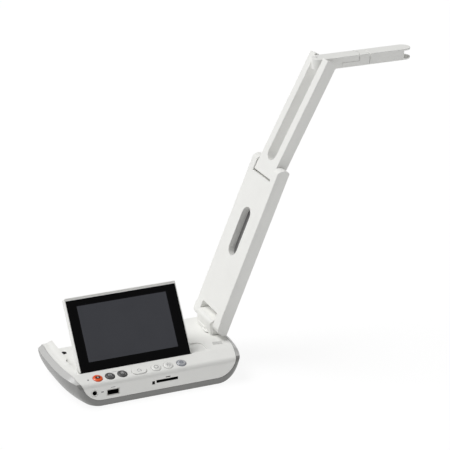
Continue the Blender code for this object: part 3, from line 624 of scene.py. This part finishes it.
def make_sockets():
    """Jack, USB, card slot and rear sockets, with real mouths and contacts."""
    place = FRONT_WALL @ Matrix.Translation((JACK_X, JACK_Z, -0.25))
    profile = [(0, -10.5), (2.75, -10.5), (2.75, 0.1), (2.95, 0.25), (3.4, 0.2), (3.8, 0.0),
               (3.95, -0.3), (3.95, -0.6), (3.4, -0.6), (3.4, -12), (0, -12)]
    piece(turned("jack_body", profile, place, 64), WHITE, "base", "audio_jack", angle=40)
    profile = [(0, -6.0), (2.5, -6.0), (2.6, -0.1), (2.72, -0.1), (2.72, -6.4), (0, -6.4)]
    piece(turned("jack_well", profile, place, 48), RUBBER, "base")
    usb = box("usb_shell", (-64.6, FRONT + 0.15, 11.3), (-49.8, FRONT + 13, 18.3))
    cut(usb, box("usb_mouth", (-64.0, FRONT - 4, 11.9), (-50.4, FRONT + 12.4, 17.7)))
    soften(usb, 0.15, 2, 50)
    piece(usb, STEEL, "base", "usb_port")
    tongue = box("usb_tongue", (-62.8, FRONT + 2.6, 15.9), (-51.6, FRONT + 12.5, 17.2), bevel=0.1)
    piece(tongue, RUBBER, "base")
    for i in range(4):
        x = -61.4 + 2.55 * i
        contact = box(f"usb_contact_{i}", (x, FRONT + 3.4, 15.8), (x + 1.0, FRONT + 10, 15.92))
        piece(contact, STEEL, "base")
    lining = box("usb_lining", (-63.9, FRONT + 1.2, 12.0), (-50.5, FRONT + 12.3, 17.6))
    cut(lining, box("usb_lining_mouth", (-63.6, FRONT - 1, 12.3), (-50.8, FRONT + 11.8, 17.3)))
    piece(lining, RUBBER, "base")
    card = box("card_shell", (-5.0, FRONT + 0.15, 15.7), (20.9, -34, 18.8))
    cut(card, box("card_mouth", (-4.75, FRONT - 4, 16.0), (20.65, -35, 18.5)))
    piece(card, RUBBER, "base", "card_slot")
    light = box("card_light", (-10.1, FRONT + 0.25, 14.4), (-7.1, FRONT + 3.2, 18.2), bevel=0.3)
    piece(light, RUBBER, "base", "card_led_window")
    power = inlet_rod("power_shell", -0.15, -11, 3.6)
    cut(power, inlet_rod("power_mouth", 4, -9, 2.8))
    soften(power, 0.2, 2, 50)
    piece(power, DARK, "base", "power_inlet")
    piece(inlet_rod("power_pin", -2, -10, 0.8, 24), STEEL, "base")
    hdmi_section = [(1.6, 12.3), (14.4, 12.3), (15.5, 14.0), (15.5, 17.7), (0.5, 17.7), (0.5, 14.0)]
    mouth_section = [(2.0, 12.9), (14.0, 12.9), (14.9, 14.3), (14.9, 17.1), (1.1, 17.1), (1.1, 14.3)]
    hdmi = prism("hdmi_shell", hdmi_section, "Y", BACK - 9, BACK - 0.15)
    cut(hdmi, prism("hdmi_mouth", mouth_section, "Y", BACK - 8, BACK + 4))
    piece(hdmi, STEEL, "base", "hdmi_port")
    piece(box("hdmi_tongue", (2.6, BACK - 8, 15.0), (13.4, BACK - 1.5, 15.8), bevel=0.1), DARK, "base")
    device = box("square_usb_shell", (-20.0, BACK - 9, 11.0), (-8.0, BACK - 0.15, 19.8))
    cut(device, box("square_usb_mouth", (-19.4, BACK - 8, 11.6), (-8.6, BACK + 4, 19.2)))
    soften(device, 0.2, 2, 50)
    piece(device, STEEL, "base", "usb_device_port")
    tongue = box("square_usb_tongue", (-17, BACK - 8.5, 13.4), (-11, BACK - 1.2, 17.4), bevel=0.4)
    piece(tongue, DARK, "base")
    for name, low, high, ink in (("usb_print", (-59.8, 20.3), (-54.6, 20.9), PRINT_GREY),
                                 ("card_print", (6.2, 20.3), (11.8, 21.4), PRINT_DARK),
                                 ("jack_print", (-71.4, 16.3), (-68.4, 17.5), PRINT_GREY)):
        decal(name, rounded(low, high, 0.25), -0.02, FRONT_WALL, ink, "base", 0.04)


def make_base_trim():
    for name, y, half, radius in (("front_foot", -47, 66, 5.0), ("centre_foot", 0, 0, 8.0),
                                  ("back_foot", 47, 66, 5.0)):
        foot = prism(name + "_pad", obround((0, y), half, radius, count=24), "Z", 0, 1.9)
        soften(foot, 0.5, 3, 50)
        piece(foot, RUBBER, "base", name)
    for number, (x, y) in enumerate(SCREW_PLACES, 1):
        place = Matrix.Translation((x, y, 0))
        profile = [(0, 17), (1.25, 17), (1.25, 3.7), (2.8, 3.7), (2.8, 2.6), (2.3, 2.1), (0, 2.1)]
        screw = turned(f"screw_{number}", profile, place, 32)
        cross = box("cross", (-1.5, -0.35, 1.9), (1.5, 0.35, 2.9), place)
        join(cross, box("cross_arm", (-0.35, -1.5, 1.9), (0.35, 1.5, 2.9), place))
        cut(screw, cross)
        piece(screw, STEEL, "base", f"case_screw_{number}")
    profile = [(0, 24.3), (2.6, 24.25), (3.3, 23.9), (3.6, 23.4), (3.6, 22.9), (0, 22.9)]
    bumper = turned("bumper_pad", profile, Matrix.Translation((BUMPER_X, BUMPER_Y, 0)), 48)
    piece(bumper, RUBBER, "base", "well_bumper")
    grille = prism("mic_cloth", rounded((-5.4, -3.6), (5.4, 3.6), 0.7), "Z", -1.2, 0.12, MIC)
    holes = []
    for i in range(6):
        for j in range(4):
            x, y = -4.0 + 1.6 * i, -2.4 + 1.6 * j
            holes.append(rod("mic_hole", (x, y, -0.5), (x, y, 1), 0.42, MIC, 12))
    cut(grille, *holes)
    piece(grille, GRILLE, "base", "mic_grille")
    light = turned("status_lens", [(0, 0.2), (0.6, 0.14), (0.9, -0.1), (0.9, -4), (0, -4)],
                   STRIP @ Matrix.Translation((-83.3, 0, 0)), 24)
    piece(light, PRINT_GREY, "base", "status_led")


def make_block():
    """Fixed block between the cheeks: crowned top, hollow front corner and a flared foot."""
    place = frame_at(PIVOT)
    bottom = TOP + GAP - PIVOT.z
    outline = [(-10.6, bottom), (-10.6, -6.0), (-10.9, -1.0)] + arc((-7.2, 0.6), 3.7, 180, 118, 6)
    outline += [(-8.2, 4.6)] + arc((-6.6, 4.0), 1.8, 150, 90, 4) + arc((3.2, 3.0), 2.8, 90, 0, 6)
    outline += [(6.0, bottom)]
    block = prism("block_body", outline, "Y", -20, 20, place)
    soften(block, 0.9, 4, 50)
    flare = prism("flare", rounded((-13.2, -11.6), (4, 2.6), 2.4), "Z", bottom, bottom + 1.6, place)
    soften(flare, 0.7, 3, 60)
    wing = prism("wing", rounded((-11.6, -4), (4, 17), 3.0), "Z", bottom, bottom + 4.5, place)
    soften(wing, 0.8, 3, 60)
    join(block, flare, wing)
    cut(
        block,
        rod("hollow_corner", (-12.4, -21.5, bottom - 2), (-12.4, -21.5, 20), 4.0, place, 48),
        rod("block_bore", (0, -30, 0), (0, 30, 0), 4.5, place),
    )
    block.name = "hinge_block"
    soften(block, 0.3, 3, 45)
    piece(block, WHITE, "base", "arm_base_block")
    sleeve = rod("lower_sleeve", (0, -19.7, 0), (0, 19.7, 0), 4.2, place)
    cut(sleeve, rod("lower_sleeve_bore", (0, -30, 0), (0, 30, 0), 2.8, place))
    piece(sleeve, RUBBER, "base", "base_hinge_sleeve")


def make_screen():
    """Panel with a bezel lip, a glossy glass with the display behind it, and a back cover."""
    left, right, foot, head = -87.9, 47.1, 1.5, 88.1
    glass_left, glass_right, glass_top = -86.6, 45.8, 84.6
    half = 4.5
    lip = prism("bezel", rounded((left, foot), (right, head), 1.6), "Z", -1.5, half, SCREEN)
    soften(lip, 0.7, 4, 60)
    ways = [
        box("glass_seat", (glass_left - 0.25, foot - 3, half - 1.5),
            (glass_right + 0.25, glass_top + 0.25, 9), SCREEN),
        box("module_way", (glass_left + 6, foot + 5, -3), (glass_right - 6, foot + 78, 5), SCREEN),
        box("top_line", (left - 1, head - 1.7, half - 0.35), (right + 1, head - 1.35, 9), SCREEN),
    ]
    for start, end in ((left - 1, left + 16.3), (right - 16.3, right + 1)):
        ways.append(rod("barrel_way", (start, 0, 0), (end, 0, 0), 3.3, SCREEN))
    cut(lip, *ways)
    lip.name = "screen_bezel"
    soften(lip, 0.25, 2, 50)
    piece(lip, WHITE, "screen", "screen_front_frame")
    shell = prism("screen_back", rounded((left, foot), (right, head), 1.6), "Z", -half, -1.8, SCREEN)
    soften(shell, 1.1, 4, 60)
    cut(shell, box("back_hollow", (left + 4, foot + 4, -3.0), (right - 4, head - 3, 0), SCREEN))
    for start, end in ((left, left + 16), (right - 16, right)):
        join(shell, rod("barrel", (start, 0, 0), (end, 0, 0), 3.0, SCREEN))
    cut(
        shell,
        rod("left_bore", (left - 9, 0, 0), (left + 9, 0, 0), 1.6, SCREEN, 32),
        rod("right_bore", (right - 9, 0, 0), (right + 9, 0, 0), 1.6, SCREEN, 32),
    )
    vents = []
    for i in range(9):
        x = -56 + 4.2 * i
        vents.append(prism("vent", obround((x, 62), 6, 0.7, True, 6), "Z", -6, -2.4, SCREEN))
    cut(shell, *vents)
    soften(shell, 0.25, 2, 50)
    piece(shell, WHITE, "screen", "screen_back_cover")
    glass = prism("glass_plate", rounded((glass_left, foot), (glass_right, glass_top), 0.8), "Z",
                  half - 1.2, half, SCREEN)
    soften(glass, 0.2, 2, 50)
    piece(glass, GLASS, "screen", "screen_glass")
    outline = rounded((-75.1, 12.4), (32.9, 77.2), 0.3)
    area = prism("display_area", outline, "Z", half - 0.1, half + 0.03, SCREEN)
    piece(area, PANEL, "screen")


def tube(name, half, inner, outer, place):
    sleeve = rod(name, (0, -half, 0), (0, half, 0), outer, place)
    cut(sleeve, rod(name + "_bore", (0, -half - 1, 0), (0, half + 1, 0), inner, place))
    return sleeve


def make_lower_arm():
    low, high = -8.5, 5.3
    radius, half = 9.0, 35.5
    end = LOWER_LENGTH
    left = math.degrees(math.acos(-low / radius))
    fillet = 2.5                            # rounds the cheeks into the inner face
    rise = math.sqrt((radius - fillet) ** 2 - (high - fillet) ** 2)
    meet = math.degrees(math.atan2(rise, high - fillet))
    outline = arc((high - fillet, -rise), fillet, 0, -meet, 6)
    outline += arc((0, 0), radius, -meet, -180 + left, 24)[1:]
    outline += arc((0, end), radius, 180 - left, meet, 24)
    outline += arc((high - fillet, end + rise), fillet, meet, 0, 6)[1:]
    arm = prism("lower_arm_body", outline, "Y", -half, half, LOWER)
    bevels = []
    for side in (-1, 1):
        outer = side * (half + 1)
        outline = [(low - 1, outer), (low - 1, side * (half - 1.95)), (low + 7.48, outer)]
        bevels.append(prism("side_chamfer", outline, "Z", 5.5, end + 12, LOWER))
    cut(arm, *bevels)
    soften(arm, 0.3, 2, 30)
    cut(
        arm,
        box("bottom_fork", (-15, -20.6, -15), (15, 20.6, 12.3), LOWER),
        box("top_fork", (-15, -22.55, end - 10.4), (15, 22.55, end + 15), LOWER),
        prism("recess", obround((0, 108), 20, 10.0, True, 32), "X", -12, 0.5, LOWER),
        prism("cover_seat", rounded((-30.3, 15.7), (30.3, 172.3), 3.0), "X", 3.2, 12, LOWER),
        box("wire_way_front", (-5.5, -30, 22), (5, -14, 165), LOWER),
        box("wire_way_back", (-5.5, 14, 22), (5, 30, 165), LOWER),
        rod("bottom_bore", (0, -33.8, 0), (0, 33.8, 0), 2.8, LOWER),
        rod("top_bore", (0, -33.8, end), (0, 33.8, end), 2.8, LOWER),
    )
    arm.name = "lower_arm"
    soften(arm, 0.35, 3, 50)
    piece(arm, WHITE, "lower_arm", "lower_arm_shell")
    cover = prism("lower_cover", rounded((-30, 16), (30, 172), 2.7), "X", 3.5, high, LOWER)
    soften(cover, 0.4, 3, 50)
    piece(cover, WHITE, "lower_arm", "lower_arm_cover")
    liner = prism("recess_liner", obround((0, 108), 20, 9.7, True, 32), "X", -0.8, 0.2, LOWER)
    soften(liner, 0.3, 2, 50)
    piece(liner, LINER, "lower_arm", "lower_arm_recess_liner")
    for name, height in (("base_hinge_pin", 0), ("elbow_pin", end)):
        pin = rod(name + "_turned", (0, -33.5, height), (0, 33.5, height), 2.5, LOWER)
        soften(pin, 0.4, 2, 50)
        piece(pin, STEEL, "lower_arm", name)


def make_upper_arm():
    thick, half, end = 6.85, 22.25, 141.7
    radius = 9.2
    side = math.degrees(math.asin(thick / radius))
    outline = [(-thick, -8.0)] + arc((-thick + 1.2, -8.0), 1.2, 180, 270, 4)
    outline += arc((0, 0), radius, -90, -90 + side, 16)
    outline += arc((thick - 5, end - 5), 5, 0, 90, 12) + [(-thick, end)]
    arm = prism("upper_arm_body", outline, "Y", -half, half, UPPER)
    soften(arm, 0.6, 4, 45)
    slot = arc((0, 19.5), 10, 180, 360, 40) + [(10, end + 5), (-10, end + 5)]
    cut(
        arm,
        prism("arm_slot", slot, "X", -12, 12, UPPER),
        rod("tongue_bore", (0, -30, 0), (0, 30, 0), 4.5, UPPER),
        rod("head_bore", (0, -20.3, UPPER_LENGTH), (0, 20.3, UPPER_LENGTH), 2.3, UPPER, 32),
        box("rail_way_front", (-4, -20, 16), (8, -12, 120), UPPER),
        box("rail_way_back", (-4, 12, 16), (8, 20, 120), UPPER),
        prism("rail_seat_front", rounded((-20.9, 15), (-11.1, 121), 1.5), "X", 5.2, 9, UPPER),
        prism("rail_seat_back", rounded((11.1, 15), (20.9, 121), 1.5), "X", 5.2, 9, UPPER),
    )
    arm.name = "upper_arm"
    soften(arm, 0.35, 3, 50)
    piece(arm, WHITE, "upper_arm", "upper_arm_shell")
    for name, low in (("rail_cover_front", -20.6), ("rail_cover_back", 11.4)):
        outline = rounded((low, 15.3), (low + 9.2, 120.7), 1.3)
        cover = prism(name + "_strip", outline, "X", 5.5, thick, UPPER)
        soften(cover, 0.35, 3, 50)
        piece(cover, WHITE, "upper_arm", name)
    piece(tube("elbow_bush", 21.85, 2.8, 4.2, UPPER), RUBBER, "upper_arm", "elbow_sleeve")
    pin = rod("head_pin", (0, -20, UPPER_LENGTH), (0, 20, UPPER_LENGTH), 2.0, UPPER, 32)
    soften(pin, 0.3, 2, 50)
    piece(pin, STEEL, "upper_arm", "head_hinge_pin")


def make_head():
    wide, tall = 9.5, 6.6
    swivel = (32.4, 0.0)
    lap_radius, lap_top = 14.3, -0.3
    lap = math.degrees(math.asin(wide / lap_radius))
    clear = lap_radius + GAP
    outline = arc((-2.4, 0), wide, 90, 270, 40) + arc(swivel, lap_radius, -lap, lap, 24)
    root = prism("root_body", outline, "Z", -tall, tall, TIP)
    soften(root, 0.6, 4, 50)
    cut(
        root,
        rod("root_lap", (*swivel, -10), (*swivel, lap_top), clear, TIP, 96),
        box("root_lap_end", (swivel[0], -20, -10), (60, 20, lap_top), TIP),
        rod("root_bore", (0, -20, 0), (0, 20, 0), 2.3, TIP, 32),
        rod("root_pin_way", (*swivel, -1), (*swivel, 4.9), 2.9, TIP, 32),
        rod("root_dimple", (-5.4, 1.6, 5.6), (-5.4, 1.6, 9), 1.4, TIP, 32),
    )
    root.name = "head_arm"
    soften(root, 0.3, 3, 50)
    piece(root, WHITE, "head_root", "head_root")
    piece(turned("dimple_plug", [(0, 6.1), (0.9, 6.0), (1.2, 5.7), (0, 5.6)],
                 TIP @ Matrix.Translation((-5.4, 1.6, 0)), 24), PRINT_GREY, "head_root")
    outline = arc(swivel, lap_radius, 180 - lap, 180 + lap, 24) + [(57.0, -wide), (57.0, wide)]
    link = prism("link_body", outline, "Z", -tall, tall, TIP)
    soften(link, 0.6, 4, 50)
    cut(
        link,
        rod("link_lap", (*swivel, lap_top - GAP), (*swivel, 10), clear, TIP, 96),
        box("link_lap_end", (0, -20, lap_top - GAP), (swivel[0], 20, 10), TIP),
        rod("link_pin_way", (*swivel, -4.9), (*swivel, 1), 2.9, TIP, 32),
        rod("link_roll_way", (48.7, 0, 0), (70, 0, 0), 3.3, TIP, 32),
    )
    link.name = "head_link"
    soften(link, 0.25, 3, 50)
    piece(link, WHITE, "swivel_link", "swivel_link")
    pin = rod("swivel_peg", (*swivel, -4.6), (*swivel, 4.6), 2.6, TIP, 32)
    piece(pin, STEEL, "head_root", "swivel_pin")
    peg = rod("roll_peg", (49, 0, 0), (65, 0, 0), 3.0, TIP, 32)
    piece(peg, STEEL, "swivel_link", "roll_spigot")
    start, tip_start, tip = 57.6, 103.0, 113.1
    outline = [(start, wide), (start, -wide)]
    for i in range(41):
        angle = math.radians(-90 + 4.5 * i)
        outline.append((tip_start + (tip - tip_start) * math.cos(angle), wide * math.sin(angle)))
    shell = prism("camera_body", outline, "Z", -tall, tall, TIP)
    soften(shell, 0.6, 4, 50)
    cut(
        shell,
        box("tip_gap", (101.4, -12, -tall + 2), (120, 12, tall - 2), TIP),
        box("head_hollow", (67, -7.7, -10), (99, 7.7, 4.8), TIP),
        prism("head_cover_seat", rounded((66.4, -8.3), (99.6, 8.3), 1.4), "Z", -10, -4.9, TIP),
        rod("head_roll_way", (50, 0, 0), (65.3, 0, 0), 3.3, TIP, 32),
    )
    shell.name = "camera_head_body"
    soften(shell, 0.3, 3, 50)
    piece(shell, WHITE, "camera_head", "camera_head_shell")
    cover = prism("camera_cover", rounded((66.7, -8.0), (99.3, 8.0), 1.2), "Z", -tall, -5.2, TIP)
    cut(
        cover,
        rod("lens_way", (90, 0, -9), (90, 0, 0), 4.3, TIP, 64),
        prism("lamp_way", rounded((67.7, -2.8), (76.3, 2.8), 1.2), "Z", -9, 0, TIP),
    )
    soften(cover, 0.25, 3, 50)
    piece(cover, WHITE, "camera_head", "camera_head_cover")
    place = TIP @ Matrix.Translation((90, 0, 0))
    profile = [(0, -5.4), (4.0, -5.4), (4.0, -6.2), (3.4, -6.5), (2.6, -6.15), (1.3, -6.4), (0, -6.5)]
    piece(turned("lens_front", profile, place, 64), LENS, "camera_head", "lens_window")
    window = prism("lamp_pane", rounded((68, -2.5), (76, 2.5), 1.0), "Z", -6.4, -5.4, TIP)
    soften(window, 0.2, 2, 50)
    piece(window, LAMP, "camera_head", "lamp_window")
    profile = [(0, 1.6), (4.4, 1.6), (5.0, 1.0), (5.0, -3.6), (4.4, -4.8), (0, -4.8)]
    piece(turned("lens_barrel", profile, place, 48), DARK, "camera_head", "camera_barrel")


def dress_inner_nodes():
    """CAD nodes that keep their shape get the scene's materials."""
    looks = {
        BOARD: ("main_board", "button_board", "camera_board"),
        RUBBER: ("rubber_keypad",),
        DARK: ("speaker", "display_module"),
        STEEL: ("ballast_plate", "microphone", "screen_pin_left", "screen_pin_right"),
    }
    for material, nodes in looks.items():
        for node in nodes:
            for place in frame["nodes"][node].material_slots:
                place.material = material


make_case()
make_shell()
make_buttons()
make_sockets()
make_base_trim()
make_block()
make_screen()
make_lower_arm()
make_upper_arm()
make_head()
dress_inner_nodes()

# ---------------------------------------------------------------- camera, light and floor
VIEW_TURN = math.radians(24.27)         # the camera looks this far to the right of straight back
VIEW_TILT = math.radians(21.79)         # and this far down
VIEW_ROLL = math.radians(0.48)
VIEW_DISTANCE = 2375.8
VIEW_LENS = 170.82
VIEW_OFFSET = (158.4, 166.8)            # how far right and up of the target the view is centred
VIEW_TARGET = Vector((-86.6, -34.75, TOP))      # lower left corner of the glass, flat on the top
forward = Vector((
    math.sin(VIEW_TURN) * math.cos(VIEW_TILT), math.cos(VIEW_TURN) * math.cos(VIEW_TILT),
    -math.sin(VIEW_TILT),
))
across = Vector((math.cos(VIEW_TURN), -math.sin(VIEW_TURN), 0))
upward = across.cross(forward)
eye = VIEW_TARGET + across * VIEW_OFFSET[0] + upward * VIEW_OFFSET[1] - forward * VIEW_DISTANCE
right = across * math.cos(VIEW_ROLL) + upward * math.sin(VIEW_ROLL)
above = upward * math.cos(VIEW_ROLL) - across * math.sin(VIEW_ROLL)
camera = bpy.data.objects.new("camera", bpy.data.cameras.new("camera"))
camera.data.sensor_width = 36.0
camera.data.lens = VIEW_LENS
camera.data.clip_end = 20.0
facing = Matrix((right, above, -forward)).transposed().to_4x4()
camera.matrix_world = Matrix.Translation(eye * MM) @ facing
bpy.context.scene.collection.objects.link(camera)
bpy.context.scene.camera = camera

floor = box("floor", (-4000, -4000, -20), (4000, 4000, 0))
# The floor gives off light, so that it stays evenly white and shadows on it stay faint.
paint = plastic("floor_paint", (0.12, 0.12, 0.12), 0.9, bump=0.0, shift=0.0, shine=0.0)
glow = paint.node_tree.nodes["Principled BSDF"].inputs
glow["Emission Color"].default_value = (1, 1, 1, 1)
glow["Emission Strength"].default_value = 0.9
floor.data.materials.append(paint)

world = bpy.data.worlds.new("studio")
bpy.context.scene.world = world
world.use_nodes = True
world.node_tree.nodes["Background"].inputs["Color"].default_value = (1, 1, 1, 1)
world.node_tree.nodes["Background"].inputs["Strength"].default_value = 0.27

SUN_FROM = Vector((-0.892, 0.6, 1.85))      # towards the left, the back and above
sun = bpy.data.lights.new("key_light", "SUN")
sun.energy = 2.35
sun.angle = 0.7
sun_object = bpy.data.objects.new("key_light", sun)
sun_object.location = SUN_FROM
sun_object.rotation_euler = (-SUN_FROM).to_track_quat("-Z", "Y").to_euler()
bpy.context.scene.collection.objects.link(sun_object)
bpy.context.scene.view_settings.view_transform = "Standard"
